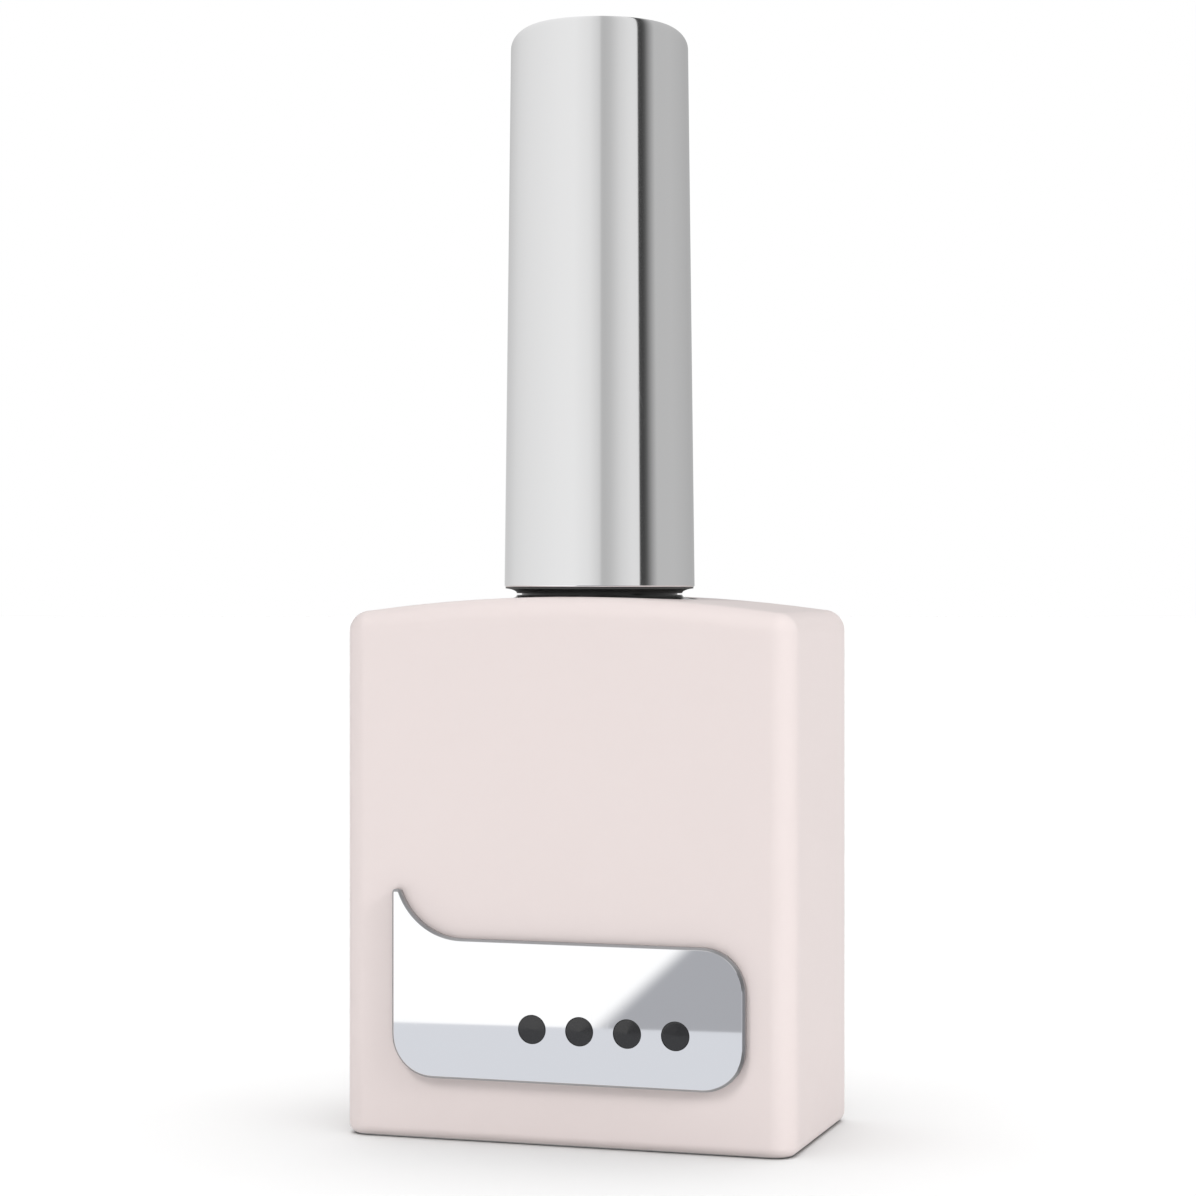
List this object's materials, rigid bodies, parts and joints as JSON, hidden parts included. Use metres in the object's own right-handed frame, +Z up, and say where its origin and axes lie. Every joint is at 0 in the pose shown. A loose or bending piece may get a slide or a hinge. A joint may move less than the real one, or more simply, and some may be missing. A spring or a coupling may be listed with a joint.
{
  "type": "nail polish bottle",
  "caption": "Tall screw-cap nail polish bottle: flat rectangular coated glass body, slim metal cap with brush, and a polished name plate with a curved tail.",
  "frame": {"origin": "centre of the base on the surface the bottle stands on, on the axis of the neck and cap", "axes": "+Z up along the neck and cap axis, +X along the body's width to the right of the name plate as it is read, -Y out of the name plate"},
  "size_m": [0.0372, 0.0202, 0.0898],
  "materials": {
    "black_glass": "opaque black glass, fire-polished gloss",
    "pink_lacquer": "satin sprayed lacquer, very pale dusty pink",
    "polished_plate": "mirror polished with a bevelled edge",
    "black_enamel": "glossy enamel fill",
    "adhesive": "clear acrylic foam tape",
    "label_paper": "matt coated paper, blank",
    "washer_plastic": "natural polyethylene",
    "steel": "turned steel",
    "silver_aluminium": "bright silver anodised, satin-gloss",
    "black_plastic": "moulded black polypropylene",
    "bristle": "black nylon filaments",
    "anchor_wire": "plain flat wire"
  },
  "bodies": {
    "bottle": {"glass_bottle": "black_glass", "colour_coat": "pink_lacquer", "plaque": "polished_plate", "plaque_marks": "black_enamel", "plaque_adhesive": "adhesive", "base_label": "label_paper"},
    "washer": {"sealing_washer": "washer_plastic"},
    "weight": {"cap_weight": "steel"},
    "cap": {"cap_shell": "silver_aluminium", "inner_cap": "black_plastic", "brush_stem": "black_plastic", "bristle_tuft": "bristle", "bristle_anchor": "anchor_wire"}
  },
  "joints": [
    {"name": "cap_lift", "type": "slide", "parent": "bottle", "child": "washer", "axis": [0, 0, 1], "range_m": [0, 0.06]},
    {"name": "cap_rise", "type": "slide", "parent": "washer", "child": "weight", "axis": [0, 0, 1], "range_m": [0, 0.0032]},
    {"name": "cap_turn", "type": "hinge", "parent": "weight", "child": "cap", "pos_m": [0, 0, 0.04396], "axis": [0, 0, 1], "range_deg": [0, 540]}
  ],
  "couplings": [
    {"joint": "cap_rise", "follows": "cap_turn", "m_per_rad": 0.00033693}
  ]
}
